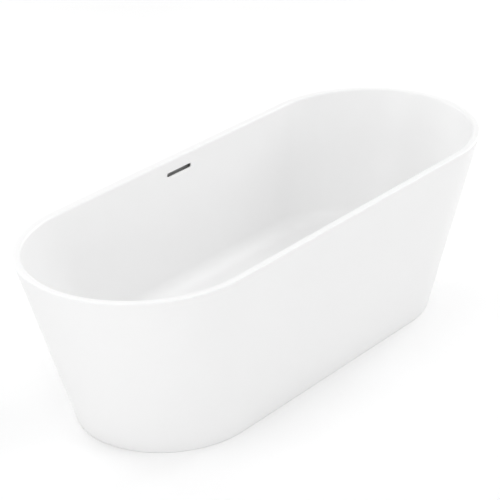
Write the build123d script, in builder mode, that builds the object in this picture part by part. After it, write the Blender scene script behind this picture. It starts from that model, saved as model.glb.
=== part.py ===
from build123d import *
import math
import os

# A freestanding double-skin bath. +Z is up, +X runs along the bath, and the origin is on the
# floor under the middle of the bath. The overflow slot is in the +Y wall. Millimetres throughout.

os.makedirs("parts", exist_ok=True)

# Outside form: an oval with straight sides, tapering evenly from the rim down to the floor.
RIM_LENGTH = 1800
RIM_WIDTH = 685
HEIGHT = 545
BASE_LENGTH = 1416
BASE_WIDTH = 526
END_STRETCH = 1.09  # an end is half an ellipse, this much longer than a half circle

# Inside form of the basin.
RIM_BREADTH = 24
FLOOR_LEVEL = 150
FLOOR_LENGTH = 1428
FLOOR_WIDTH = 517
FLOOR_RADIUS = 55
RIM_INNER_RADIUS = 8
RIM_OUTER_RADIUS = 4

# Sheet and layers.
SHEET = 5
LIP_DEPTH = 22
BOND_GAP = 0.2
BACKING = 3
BACKING_TOP_DROP = 34
SKIRT_GAP = 0.5  # between the skirt and the floor
SKIRT_RETURN = 30  # breadth of the skirt's turned-in bottom edge
STRIP_THICKNESS = 4  # the skirt's stepped top edge, bonded behind the rim's lip
STRIP_OVERLAP = 8
STRIP_GAP = 0.3

# Overflow slot in the +Y wall.
SLOT_LENGTH = 112
SLOT_HEIGHT = 12
SLOT_DROP = 43  # centre of the slot below the rim

# Base board and steel frame.
BOARD_LENGTH = 1240
BOARD_WIDTH = 330
BOARD_THICKNESS = 12
BOARD_WASTE_HOLE = 130
TUBE = 25
TUBE_WALL = 1.5
TUBE_CORNER = 2
RAIL_LENGTH = 1060
RAIL_OFFSET = 150
CROSS_TUBE_PLACES = (-490, -110, 110, 490)
BOARD_SCREW_PLACES = (-400, -200, 200, 400)
BRACKET_PLACES = (-300, 300)
SCREW_RADIUS = 2.5
SCREW_HOLE_RADIUS = 2.6
SCREW_HEAD_RADIUS = 5
SCREW_HEAD_HEIGHT = 3.5
SCREW_SOCKET_RADIUS = 2.3
SCREW_ACCESS_RADIUS = 6.5
SCREW_BITE = 9  # how far a board screw goes into the board
BOARD_HOLE_DEPTH = 10
END_CAP_THICKNESS = 3
END_CAP_PLUG = 21.4
END_CAP_DEPTH = 12
BRACKET_WIDTH = 40
BRACKET_SHEET = 2.5
BRACKET_BEND = 2.5
BRACKET_REACH = 248
BRACKET_BOLT_OFFSET = 238
BOLT_RADIUS = 3
BOLT_HOLE_RADIUS = 3.1
BOLT_HEAD_FLATS = 10
BOLT_HEAD_HEIGHT = 4
RAIL_BOLT_LENGTH = 14

# Levelling feet: (x, side) of each, the side being -1 for the front rail and 1 for the back one.
FOOT_PLACES = ((-490, -1), (-110, -1), (490, -1), (-490, 1), (110, 1), (490, 1))
STUD_RADIUS = 6
STUD_HOLE_RADIUS = 7
THREAD_GAP = 0.08
STUD_TOP = 120
STUD_CHAMFER = 1
SOLE_RADIUS = 29
SOLE_THICKNESS = 3
SOLE_CHAMFER = 0.75
PAD_RADIUS = 30
PAD_THICKNESS = 7
PAD_CHAMFER = 3.5
PAD_HUB_RADIUS = 12
PAD_TOP = 18
PAD_SOCKET_FLOOR = 4
COLLAR_ACROSS_FLATS = 17
COLLAR_HEIGHT = 6
NUT_ACROSS_FLATS = 19
WELD_NUT_HEIGHT = 10
LOCK_NUT_HEIGHT = 7

# Waste, on the Z axis.
WASTE_HOLE_RADIUS = 26.5
DISH_DEPTH = 4
DISH_FLOOR_RADIUS = 38
DISH_TOP_RADIUS = 54
DISH_BOSS_RADIUS = 60
FLANGE_RADIUS = 35
FLANGE_THICKNESS = 2.5
FLANGE_CHAMFER = 1
FLANGE_SEAL = 1.5
FLANGE_SEAL_RADIUS = 34
TAIL_RADIUS = 25.5
TAIL_BORE_RADIUS = 21.5
TAIL_BOTTOM = 113
SEAT_TOP_RADIUS = 24.5
SEAT_DEPTH = 8
HUB_RADIUS = 12
HUB_BOTTOM = 123
HUB_HEIGHT = 6
ARM_WIDTH = 5
ARM_OVERLAP = 2  # how far an arm runs into the hub and into the tail
CARTRIDGE_RADIUS = 9
CARTRIDGE_HEAD_RADIUS = 11
CARTRIDGE_FLOOR = 2
CARTRIDGE_BOTTOM = 114
CARTRIDGE_TOP = 135
STEM_RADIUS = 4
STEM_GAP = 0.08
STEM_BOTTOM = 117
CAP_BOTTOM = 150.5
CAP_RADIUS = 30
CAP_THICKNESS = 4.5
CAP_EDGE_RADIUS = 2.7
SEAL_DEPTH = 2.5
SEAL_BOTTOM_RADIUS = 21
SEAL_GAP = 0.3
BODY_GASKET = 3
BODY_WALL_RADIUS = 30
BODY_CHAMBER_RADIUS = 23
BODY_FLANGE_RADIUS = 37
BODY_FLANGE_THICKNESS = 4
BODY_THREAD_BOTTOM = 112
BODY_SHOULDER = 57
SOCKET_RADIUS = 25
OUTLET_BORE_RADIUS = 20.2  # takes a 40 mm waste pipe from below
OUTLET_BOTTOM = 36
OUTLET_DEPTH = 23
OUTLET_STOP_RADIUS = 18.2
OUTLET_STOP_THICKNESS = 3
OUTLET_SEAL = 3
OUTLET_SEAL_RADIUS = 24
OUTLET_SEAL_GAP = 0.4  # the seal and the nut pass the pipe freely until the nut is tightened
OUTLET_NUT_LIP = 3
OUTLET_NUT_RADIUS = 30
OUTLET_NUT_HEIGHT = 20
INLET_LEVEL = 70
SPIGOT_RADIUS = 9.8
SPIGOT_BORE_RADIUS = 7.8
HOSE_RADIUS = 12.5
HOSE_BORE_RADIUS = 10
HOSE_BEND = 45
HOSE_START_Y = 44
HOSE_DROP_Y = 253
HOSE_OVERLAP = 18
HOSE_TOP = 136
CLAMP_INSET = 4
CLAMP_WIDTH = 9
CLAMP_BAND = 0.8
CLAMP_HOUSING = 5
CLAMP_HOUSING_SINK = 0.5

# Overflow duct behind the slot: a flat head and pipe against the wall, and a boot at the foot.
DUCT_DEPTH = 11
DUCT_WALL = 2
DUCT_GASKET = 1.5
DUCT_CLEARANCE = 4  # to the backing on either side of the head
WINDOW_MARGIN = 1  # of the duct's and the gasket's window, round the slot
HEAD_WIDTH = 136
HEAD_ABOVE_SLOT = 10
HEAD_BELOW_SLOT = 24
PIPE_WIDTH = 70
PIPE_BOTTOM = 149
BOOT_BOTTOM = 137
BOOT_TOP = 152
BOOT_WIDTH = 50
BOOT_INNER_Y = 242
BOOT_OUTER_Y = 275
SPIGOT_BOTTOM = 121

# Levels that follow from the sizes above.
LIP_BOTTOM = HEIGHT - LIP_DEPTH
SLOT_LEVEL = HEIGHT - SLOT_DROP
BACKING_BOTTOM = FLOOR_LEVEL - SHEET - BOND_GAP - BACKING
BOARD_BOTTOM = BACKING_BOTTOM - BOARD_THICKNESS
TUBE_BOTTOM = BOARD_BOTTOM - TUBE
TUBE_LEVEL = BOARD_BOTTOM - TUBE / 2
WELD_NUT_BOTTOM = TUBE_BOTTOM - WELD_NUT_HEIGHT
LOCK_NUT_BOTTOM = WELD_NUT_BOTTOM - LOCK_NUT_HEIGHT
DISH_FLOOR = FLOOR_LEVEL - DISH_DEPTH
FLANGE_BOTTOM = DISH_FLOOR + FLANGE_SEAL
BOSS_BOTTOM = DISH_FLOOR - SHEET
BODY_TOP = BOSS_BOTTOM - BODY_GASKET


def save(piece, name):
    """Label a finished piece and write its STEP file."""
    piece.part.label = name
    export_step(piece.part, f"parts/{name}.step")


def oval(level, length, width):
    """A level oval face: straight sides along X and half-elliptical ends."""
    reach = END_STRETCH * width / 2
    straight = length / 2 - reach
    with BuildSketch(Plane.XY.offset(level)) as face:
        with BuildLine():
            EllipticalCenterArc((straight, 0), reach, width / 2, start_angle=-90, arc_size=180)
            Line((straight, width / 2), (-straight, width / 2))
            EllipticalCenterArc((-straight, 0), reach, width / 2, start_angle=90, arc_size=180)
            Line((-straight, -width / 2), (straight, -width / 2))
        make_face()
    return face.sketch


def skirt_form(low, high, inset):
    """Two ovals of the outside form, moved inwards by the inset, to loft between."""
    faces = []
    for level in (low, high):
        share = level / HEIGHT
        length = BASE_LENGTH + (RIM_LENGTH - BASE_LENGTH) * share
        width = BASE_WIDTH + (RIM_WIDTH - BASE_WIDTH) * share
        faces.append(oval(level, length - 2 * inset, width - 2 * inset))
    return faces


def basin_form(growth):
    """The space inside the basin, grown outwards and downwards by a wall thickness."""
    faces = []
    for level in (FLOOR_LEVEL - growth, HEIGHT):
        share = (level - FLOOR_LEVEL) / (HEIGHT - FLOOR_LEVEL)
        length = FLOOR_LENGTH + (RIM_LENGTH - 2 * RIM_BREADTH - FLOOR_LENGTH) * share
        width = FLOOR_WIDTH + (RIM_WIDTH - 2 * RIM_BREADTH - FLOOR_WIDTH) * share
        faces.append(oval(level, length + 2 * growth, width + 2 * growth))
    with BuildPart() as form:
        loft(faces, ruled=True)
        fillet(form.faces().sort_by(Axis.Z)[0].edges(), FLOOR_RADIUS + growth)
    return form.part


# The slope of the basin's long wall: how far it leans outwards per unit of height, and a plane on its outer
# face at the middle of the slot, facing outwards with its own Y axis pointing up the wall.
WALL_SLOPE = (RIM_WIDTH / 2 - RIM_BREADTH - FLOOR_WIDTH / 2) / (HEIGHT - FLOOR_LEVEL)
WALL_ANGLE = math.atan(WALL_SLOPE)
slot_y = RIM_WIDTH / 2 - RIM_BREADTH - WALL_SLOPE * SLOT_DROP
wall_plane = Plane(
    origin=(0, slot_y + SHEET, SLOT_LEVEL),
    x_dir=(-1, 0, 0),
    z_dir=(0, math.cos(WALL_ANGLE), -math.sin(WALL_ANGLE)),
)

# ---------------------------------------------------------------- basin and skirt

with BuildPart() as inner_basin:
    # The rim, with its lip turned down on the outside.
    loft(skirt_form(LIP_BOTTOM, HEIGHT, 0), ruled=True)
    loft(skirt_form(LIP_BOTTOM, HEIGHT - SHEET, SHEET), ruled=True, mode=Mode.SUBTRACT)
    # The bowl.
    add(basin_form(SHEET))
    with BuildSketch(Plane.XY.offset(BOSS_BOTTOM)):
        Circle(DISH_BOSS_RADIUS)
    extrude(amount=FLOOR_LEVEL - BOSS_BOTTOM)
    add(basin_form(0), mode=Mode.SUBTRACT)
    # Softened edges of the rim.
    rim_top = inner_basin.faces().sort_by(Axis.Z)[-1]
    fillet(rim_top.inner_wires()[0].edges(), RIM_INNER_RADIUS)
    rim_top = inner_basin.faces().sort_by(Axis.Z)[-1]
    fillet(rim_top.outer_wire().edges(), RIM_OUTER_RADIUS)
    # The shallow dish round the waste, and the waste hole.
    with Locations((0, 0, FLOOR_LEVEL - DISH_DEPTH / 2)):
        Cone(DISH_FLOOR_RADIUS, DISH_TOP_RADIUS, DISH_DEPTH, mode=Mode.SUBTRACT)
    with BuildSketch(Plane.XY.offset(BOSS_BOTTOM)):
        Circle(WASTE_HOLE_RADIUS)
    extrude(amount=DISH_FLOOR - BOSS_BOTTOM, mode=Mode.SUBTRACT)
    # The overflow slot, square through the wall.
    with BuildSketch(wall_plane):
        SlotOverall(SLOT_LENGTH, SLOT_HEIGHT)
    extrude(amount=2 * SHEET, both=True, mode=Mode.SUBTRACT)
save(inner_basin, "inner_basin")

with BuildPart() as basin_backing:
    add(basin_form(SHEET + BOND_GAP + BACKING))
    add(basin_form(SHEET + BOND_GAP), mode=Mode.SUBTRACT)
    # Stops short of the rim's lip, and leaves the wall bare behind the overflow duct.
    with BuildSketch(Plane.XY.offset(HEIGHT - BACKING_TOP_DROP)):
        Rectangle(RIM_LENGTH, RIM_WIDTH)
    extrude(amount=BACKING_TOP_DROP, mode=Mode.SUBTRACT)
    with BuildSketch(Plane.XY.offset(BOOT_BOTTOM)):
        with Locations((0, RIM_WIDTH / 2)):
            Rectangle(HEAD_WIDTH + 2 * DUCT_CLEARANCE, FLOOR_WIDTH / 2)
    extrude(amount=HEIGHT - BOOT_BOTTOM, mode=Mode.SUBTRACT)
    # Clear of the boss under the waste.
    with BuildSketch(Plane.XY.offset(BACKING_BOTTOM)):
        Circle(DISH_BOSS_RADIUS + BOND_GAP)
    extrude(amount=BACKING + BOND_GAP, mode=Mode.SUBTRACT)
save(basin_backing, "basin_backing")

with BuildPart() as outer_skirt:
    strip_bottom = LIP_BOTTOM - STRIP_OVERLAP
    strip_top = HEIGHT - SHEET - STRIP_GAP
    strip_inset = SHEET + STRIP_GAP
    loft(skirt_form(SKIRT_GAP, LIP_BOTTOM, 0), ruled=True)
    loft(skirt_form(strip_bottom, strip_top, strip_inset), ruled=True)
    loft(skirt_form(SKIRT_GAP + SHEET, strip_bottom, SHEET), ruled=True, mode=Mode.SUBTRACT)
    loft(skirt_form(strip_bottom, strip_top, strip_inset + STRIP_THICKNESS), ruled=True, mode=Mode.SUBTRACT)
    loft(skirt_form(SKIRT_GAP, SKIRT_GAP + SHEET, SHEET + SKIRT_RETURN), ruled=True, mode=Mode.SUBTRACT)
    # Holes in the turned-in edge for the bracket bolts.
    with BuildSketch(Plane.XY.offset(SKIRT_GAP)):
        for x in BRACKET_PLACES:
            with Locations((x, -BRACKET_BOLT_OFFSET), (x, BRACKET_BOLT_OFFSET)):
                Circle(BOLT_HOLE_RADIUS)
    extrude(amount=SHEET, mode=Mode.SUBTRACT)
save(outer_skirt, "outer_skirt")

# ---------------------------------------------------------------- base board and steel frame

with BuildPart() as base_board:
    with BuildSketch(Plane.XY.offset(BOARD_BOTTOM)):
        SlotOverall(BOARD_LENGTH, BOARD_WIDTH)
        Circle(BOARD_WASTE_HOLE / 2, mode=Mode.SUBTRACT)
    extrude(amount=BOARD_THICKNESS)
    with BuildSketch(Plane.XY.offset(BOARD_BOTTOM)):
        for x in BOARD_SCREW_PLACES:
            with Locations((x, -RAIL_OFFSET), (x, RAIL_OFFSET)):
                Circle(SCREW_HOLE_RADIUS)
    extrude(amount=BOARD_HOLE_DEPTH, mode=Mode.SUBTRACT)
save(base_board, "base_board")


def draw_tube_section():
    """The hollow square section of the frame's tube, in the sketch that is open."""
    RectangleRounded(TUBE, TUBE, TUBE_CORNER)
    RectangleRounded(TUBE - 2 * TUBE_WALL, TUBE - 2 * TUBE_WALL, TUBE_CORNER - TUBE_WALL, mode=Mode.SUBTRACT)


for side, name in ((-1, "rail_front"), (1, "rail_back")):
    rail_y = side * RAIL_OFFSET
    with BuildPart() as rail:
        with BuildSketch(Plane.YZ.offset(-RAIL_LENGTH / 2)):
            with Locations((rail_y, TUBE_LEVEL)):
                draw_tube_section()
        extrude(amount=RAIL_LENGTH)
        # Holes in the lower wall: for the studs, and for reaching the board screws.
        with BuildSketch(Plane.XY.offset(TUBE_BOTTOM)):
            for x, foot_side in FOOT_PLACES:
                if foot_side == side:
                    with Locations((x, rail_y)):
                        Circle(STUD_HOLE_RADIUS)
            for x in BOARD_SCREW_PLACES:
                with Locations((x, rail_y)):
                    Circle(SCREW_ACCESS_RADIUS)
        extrude(amount=TUBE_WALL, mode=Mode.SUBTRACT)
        # Holes in the upper wall for the board screws.
        with BuildSketch(Plane.XY.offset(BOARD_BOTTOM - TUBE_WALL)):
            for x in BOARD_SCREW_PLACES:
                with Locations((x, rail_y)):
                    Circle(SCREW_HOLE_RADIUS)
        extrude(amount=TUBE_WALL, mode=Mode.SUBTRACT)
        # Holes in the outer wall for the bracket screws.
        with BuildSketch(Plane.XZ.offset(-side * (RAIL_OFFSET + TUBE / 2))):
            for x in BRACKET_PLACES:
                with Locations((x, TUBE_LEVEL)):
                    Circle(BOLT_HOLE_RADIUS)
        extrude(amount=side * TUBE_WALL, mode=Mode.SUBTRACT)
    save(rail, name)

for number, x in enumerate(CROSS_TUBE_PLACES, start=1):
    half_length = RAIL_OFFSET - TUBE / 2
    with BuildPart() as cross_tube:
        with BuildSketch(Plane.XZ.offset(-half_length)):
            with Locations((x, TUBE_LEVEL)):
                draw_tube_section()
        extrude(amount=2 * half_length)
    save(cross_tube, f"cross_tube_{number}")

with BuildPart() as rail_end_caps:
    for end in (-1, 1):
        for side in (-1, 1):
            with BuildSketch(Plane.YZ.offset(end * RAIL_LENGTH / 2)):
                with Locations((side * RAIL_OFFSET, TUBE_LEVEL)):
                    RectangleRounded(TUBE, TUBE, TUBE_CORNER)
            extrude(amount=end * END_CAP_THICKNESS)
            with BuildSketch(Plane.YZ.offset(end * RAIL_LENGTH / 2)):
                with Locations((side * RAIL_OFFSET, TUBE_LEVEL)):
                    Rectangle(END_CAP_PLUG, END_CAP_PLUG)
            extrude(amount=-end * END_CAP_DEPTH)
save(rail_end_caps, "rail_end_caps")

with BuildPart() as board_screws:
    head_top = BOARD_BOTTOM - TUBE_WALL
    for x in BOARD_SCREW_PLACES:
        for y in (-RAIL_OFFSET, RAIL_OFFSET):
            with BuildSketch(Plane.XY.offset(head_top - SCREW_HEAD_HEIGHT)):
                with Locations((x, y)):
                    Circle(SCREW_HEAD_RADIUS)
            extrude(amount=SCREW_HEAD_HEIGHT)
            with BuildSketch(Plane.XY.offset(head_top)):
                with Locations((x, y)):
                    Circle(SCREW_RADIUS)
            extrude(amount=TUBE_WALL + SCREW_BITE)
            with BuildSketch(Plane.XY.offset(head_top - SCREW_HEAD_HEIGHT)):
                with Locations((x, y)):
                    RegularPolygon(SCREW_SOCKET_RADIUS, 6)
            extrude(amount=SCREW_HEAD_HEIGHT / 2, mode=Mode.SUBTRACT)
save(board_screws, "board_screws")

# Each bracket is a bent strip, from the outside of a rail down and out over the skirt's return.
bracket_numbers = {}
for x in BRACKET_PLACES:
    for side in (-1, 1):
        number = len(bracket_numbers) + 1
        bracket_numbers[number] = (x, side)
        near = side * (RAIL_OFFSET + TUBE / 2)
        far = side * BRACKET_REACH
        low = SKIRT_GAP + SHEET
        top = TUBE_LEVEL + TUBE / 2 - TUBE_CORNER
        with BuildPart() as bracket:
            with BuildSketch(Plane.YZ.offset(x - BRACKET_WIDTH / 2)):
                with BuildLine():
                    Polyline(
                        (near, low),
                        (far, low),
                        (far, low + BRACKET_SHEET),
                        (near + side * BRACKET_SHEET, low + BRACKET_SHEET),
                        (near + side * BRACKET_SHEET, top),
                        (near, top),
                        close=True,
                    )
                make_face()
            extrude(amount=BRACKET_WIDTH)
            bends = bracket.edges().filter_by(Axis.X)
            inner_bend = bends.sort_by_distance((x, near + side * BRACKET_SHEET, low + BRACKET_SHEET))[0]
            fillet(inner_bend, BRACKET_BEND)
            bends = bracket.edges().filter_by(Axis.X)
            fillet(bends.sort_by_distance((x, near, low))[0], BRACKET_BEND + BRACKET_SHEET)
            with BuildSketch(Plane.XZ.offset(-near)):
                with Locations((x, TUBE_LEVEL)):
                    Circle(BOLT_HOLE_RADIUS)
            extrude(amount=-side * BRACKET_SHEET, mode=Mode.SUBTRACT)
            with BuildSketch(Plane.XY.offset(low)):
                with Locations((x, side * BRACKET_BOLT_OFFSET)):
                    Circle(BOLT_HOLE_RADIUS)
            extrude(amount=BRACKET_SHEET, mode=Mode.SUBTRACT)
        save(bracket, f"skirt_bracket_{number}")

with BuildPart() as bracket_bolts:
    for x, side in bracket_numbers.values():
        face_y = side * (RAIL_OFFSET + TUBE / 2 + BRACKET_SHEET)
        rail_bolt = Plane(origin=(x, face_y, TUBE_LEVEL), x_dir=(1, 0, 0), z_dir=(0, side, 0))
        skirt_bolt = Plane.XY.offset(SKIRT_GAP + SHEET + BRACKET_SHEET)
        skirt_bolt = skirt_bolt.shift_origin((x, side * BRACKET_BOLT_OFFSET, skirt_bolt.origin.Z))
        for bolt_plane, length in ((rail_bolt, RAIL_BOLT_LENGTH), (skirt_bolt, BRACKET_SHEET + SHEET)):
            with BuildSketch(bolt_plane):
                RegularPolygon(BOLT_HEAD_FLATS / 2, 6, major_radius=False)
            extrude(amount=BOLT_HEAD_HEIGHT)
            with BuildSketch(bolt_plane):
                Circle(BOLT_RADIUS)
            extrude(amount=-length)
save(bracket_bolts, "bracket_bolts")

# ---------------------------------------------------------------- levelling feet


def nut_ring(bottom, height):
    """A hexagon nut round each stud, in the part that is open."""
    for x, side in FOOT_PLACES:
        with BuildSketch(Plane.XY.offset(bottom)) as nut:
            with Locations((x, side * RAIL_OFFSET)):
                RegularPolygon(NUT_ACROSS_FLATS / 2, 6, major_radius=False)
                Circle(STUD_RADIUS + THREAD_GAP, mode=Mode.SUBTRACT)
        extrude(nut.sketch, amount=height)


with BuildPart() as foot_weld_nuts:
    nut_ring(WELD_NUT_BOTTOM, WELD_NUT_HEIGHT)
save(foot_weld_nuts, "foot_weld_nuts")

with BuildPart() as foot_lock_nuts:
    nut_ring(LOCK_NUT_BOTTOM, LOCK_NUT_HEIGHT)
save(foot_lock_nuts, "foot_lock_nuts")

for number, (x, side) in enumerate(FOOT_PLACES, start=1):
    centre = (x, side * RAIL_OFFSET)
    socket_floor = SOLE_THICKNESS + PAD_SOCKET_FLOOR

    with BuildPart() as foot_sole:
        with BuildSketch(Plane.XY):
            with Locations(centre):
                Circle(SOLE_RADIUS)
        extrude(amount=SOLE_THICKNESS)
        chamfer(foot_sole.faces().sort_by(Axis.Z)[0].edges(), SOLE_CHAMFER)
    save(foot_sole, f"foot_sole_{number}")

    with BuildPart() as foot_pad:
        with BuildSketch(Plane.XY.offset(SOLE_THICKNESS)):
            with Locations(centre):
                Circle(PAD_RADIUS)
        extrude(amount=PAD_THICKNESS)
        chamfer(foot_pad.faces().sort_by(Axis.Z)[-1].edges(), PAD_CHAMFER)
        with BuildSketch(Plane.XY.offset(SOLE_THICKNESS)):
            with Locations(centre):
                Circle(PAD_HUB_RADIUS)
        extrude(amount=PAD_TOP - SOLE_THICKNESS)
        with BuildSketch(Plane.XY.offset(socket_floor)):
            with Locations(centre):
                Circle(STUD_RADIUS + THREAD_GAP)
        extrude(amount=PAD_TOP - socket_floor, mode=Mode.SUBTRACT)
    save(foot_pad, f"foot_pad_{number}")

    with BuildPart() as foot_stud:
        with BuildSketch(Plane.XY.offset(socket_floor + THREAD_GAP)):
            with Locations(centre):
                Circle(STUD_RADIUS)
        extrude(amount=STUD_TOP - socket_floor - THREAD_GAP)
        chamfer(foot_stud.edges().sort_by(Axis.Z)[-1], STUD_CHAMFER)
        # The hexagon collar that a spanner turns, just above the pad.
        with BuildSketch(Plane.XY.offset(PAD_TOP + THREAD_GAP)):
            with Locations(centre):
                RegularPolygon(COLLAR_ACROSS_FLATS / 2, 6, major_radius=False)
        extrude(amount=COLLAR_HEIGHT)
    save(foot_stud, f"foot_stud_{number}")

# ---------------------------------------------------------------- waste


def turned(*points):
    """Turn a closed outline of (radius, level) points about the Z axis, in the open part."""
    with BuildSketch(Plane.XZ) as outline:
        with BuildLine():
            Polyline(*points, close=True)
        make_face()
    revolve(outline.sketch, axis=Axis.Z)


with BuildPart() as flange_seal:
    turned(
        (WASTE_HOLE_RADIUS, DISH_FLOOR),
        (FLANGE_SEAL_RADIUS, DISH_FLOOR),
        (FLANGE_SEAL_RADIUS, FLANGE_BOTTOM),
        (WASTE_HOLE_RADIUS, FLANGE_BOTTOM),
    )
save(flange_seal, "flange_seal")

with BuildPart() as waste_flange:
    flange_top = FLANGE_BOTTOM + FLANGE_THICKNESS
    turned(
        (TAIL_BORE_RADIUS, TAIL_BOTTOM),
        (TAIL_RADIUS, TAIL_BOTTOM),
        (TAIL_RADIUS, FLANGE_BOTTOM),
        (FLANGE_RADIUS, FLANGE_BOTTOM),
        (FLANGE_RADIUS, flange_top - FLANGE_CHAMFER),
        (FLANGE_RADIUS - FLANGE_CHAMFER, flange_top),
        (SEAT_TOP_RADIUS, flange_top),
        (TAIL_BORE_RADIUS, flange_top - SEAT_DEPTH),
    )
    # Three arms and a hub that hold the click cartridge.
    with BuildSketch(Plane.XY.offset(HUB_BOTTOM)):
        with PolarLocations((HUB_RADIUS + TAIL_BORE_RADIUS) / 2, 3):
            Rectangle(TAIL_BORE_RADIUS - HUB_RADIUS + 2 * ARM_OVERLAP, ARM_WIDTH)
        Circle(HUB_RADIUS)
        Circle(CARTRIDGE_RADIUS, mode=Mode.SUBTRACT)
    extrude(amount=HUB_HEIGHT)
save(waste_flange, "waste_flange")

with BuildPart() as click_cartridge:
    turned(
        (0, CARTRIDGE_BOTTOM),
        (CARTRIDGE_RADIUS, CARTRIDGE_BOTTOM),
        (CARTRIDGE_RADIUS, HUB_BOTTOM + HUB_HEIGHT),
        (CARTRIDGE_HEAD_RADIUS, HUB_BOTTOM + HUB_HEIGHT),
        (CARTRIDGE_HEAD_RADIUS, CARTRIDGE_TOP),
        (STEM_RADIUS + STEM_GAP, CARTRIDGE_TOP),
        (STEM_RADIUS + STEM_GAP, CARTRIDGE_BOTTOM + CARTRIDGE_FLOOR),
        (0, CARTRIDGE_BOTTOM + CARTRIDGE_FLOOR),
    )
save(click_cartridge, "click_cartridge")

with BuildPart() as plug_stem:
    with BuildSketch(Plane.XY.offset(STEM_BOTTOM)):
        Circle(STEM_RADIUS)
    extrude(amount=CAP_BOTTOM - STEM_BOTTOM)
save(plug_stem, "plug_stem")

with BuildPart() as plug_seal:
    turned(
        (STEM_RADIUS, CAP_BOTTOM - SEAL_DEPTH),
        (SEAL_BOTTOM_RADIUS, CAP_BOTTOM - SEAL_DEPTH),
        (SEAT_TOP_RADIUS - SEAL_GAP, CAP_BOTTOM),
        (STEM_RADIUS, CAP_BOTTOM),
    )
save(plug_seal, "plug_seal")

with BuildPart() as plug_cap:
    with BuildSketch(Plane.XY.offset(CAP_BOTTOM)):
        Circle(CAP_RADIUS)
    extrude(amount=CAP_THICKNESS)
    fillet(plug_cap.faces().sort_by(Axis.Z)[-1].edges(), CAP_EDGE_RADIUS)
save(plug_cap, "plug_cap")

with BuildPart() as body_gasket:
    turned(
        (WASTE_HOLE_RADIUS, BODY_TOP),
        (BODY_FLANGE_RADIUS, BODY_TOP),
        (BODY_FLANGE_RADIUS, BOSS_BOTTOM),
        (WASTE_HOLE_RADIUS, BOSS_BOTTOM),
    )
save(body_gasket, "body_gasket")

with BuildPart() as waste_body:
    outlet_top = OUTLET_BOTTOM + OUTLET_DEPTH
    turned(
        (TAIL_RADIUS + THREAD_GAP, BODY_TOP),
        (BODY_FLANGE_RADIUS, BODY_TOP),
        (BODY_FLANGE_RADIUS, BODY_TOP - BODY_FLANGE_THICKNESS),
        (BODY_WALL_RADIUS, BODY_TOP - BODY_FLANGE_THICKNESS),
        (BODY_WALL_RADIUS, BODY_SHOULDER),
        (SOCKET_RADIUS, BODY_SHOULDER),
        (SOCKET_RADIUS, OUTLET_BOTTOM),
        (OUTLET_BORE_RADIUS, OUTLET_BOTTOM),
        (OUTLET_BORE_RADIUS, outlet_top),
        (OUTLET_STOP_RADIUS, outlet_top),
        (OUTLET_STOP_RADIUS, outlet_top + OUTLET_STOP_THICKNESS),
        (BODY_CHAMBER_RADIUS, outlet_top + OUTLET_STOP_THICKNESS),
        (BODY_CHAMBER_RADIUS, BODY_THREAD_BOTTOM),
        (TAIL_RADIUS + THREAD_GAP, BODY_THREAD_BOTTOM),
    )
    # The inlet from the overflow, on the +Y side.
    inlet_plane = Plane(origin=(0, 0, INLET_LEVEL), x_dir=(1, 0, 0), z_dir=(0, 1, 0))
    spigot_start = (BODY_CHAMBER_RADIUS + BODY_WALL_RADIUS) / 2
    with BuildSketch(inlet_plane.offset(spigot_start)):
        Circle(SPIGOT_RADIUS)
    extrude(amount=HOSE_START_Y + HOSE_OVERLAP - spigot_start)
    with BuildSketch(inlet_plane):
        Circle(SPIGOT_BORE_RADIUS)
    extrude(amount=HOSE_START_Y + HOSE_OVERLAP, mode=Mode.SUBTRACT)
save(waste_body, "waste_body")

with BuildPart() as outlet_seal:
    turned(
        (OUTLET_BORE_RADIUS + OUTLET_SEAL_GAP, OUTLET_BOTTOM - OUTLET_SEAL),
        (OUTLET_SEAL_RADIUS, OUTLET_BOTTOM - OUTLET_SEAL),
        (OUTLET_SEAL_RADIUS, OUTLET_BOTTOM),
        (OUTLET_BORE_RADIUS + OUTLET_SEAL_GAP, OUTLET_BOTTOM),
    )
save(outlet_seal, "outlet_seal")

with BuildPart() as outlet_nut:
    nut_bottom = OUTLET_BOTTOM - OUTLET_SEAL - OUTLET_NUT_LIP
    with BuildSketch(Plane.XY.offset(nut_bottom)):
        RegularPolygon(OUTLET_NUT_RADIUS, 8, major_radius=False)
        Circle(OUTLET_BORE_RADIUS + 2 * OUTLET_SEAL_GAP, mode=Mode.SUBTRACT)
    extrude(amount=OUTLET_NUT_HEIGHT)
    with BuildSketch(Plane.XY.offset(nut_bottom + OUTLET_NUT_LIP)):
        Circle(SOCKET_RADIUS + THREAD_GAP)
    extrude(amount=OUTLET_NUT_HEIGHT - OUTLET_NUT_LIP, mode=Mode.SUBTRACT)
save(outlet_nut, "outlet_nut")

# ---------------------------------------------------------------- overflow

with BuildPart() as overflow_gasket:
    with BuildSketch(wall_plane):
        with Locations((0, (HEAD_ABOVE_SLOT - HEAD_BELOW_SLOT) / 2)):
            Rectangle(HEAD_WIDTH, HEAD_ABOVE_SLOT + HEAD_BELOW_SLOT)
        SlotOverall(SLOT_LENGTH + 2 * WINDOW_MARGIN, SLOT_HEIGHT + 2 * WINDOW_MARGIN, mode=Mode.SUBTRACT)
    extrude(amount=DUCT_GASKET)
save(overflow_gasket, "overflow_gasket")

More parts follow.
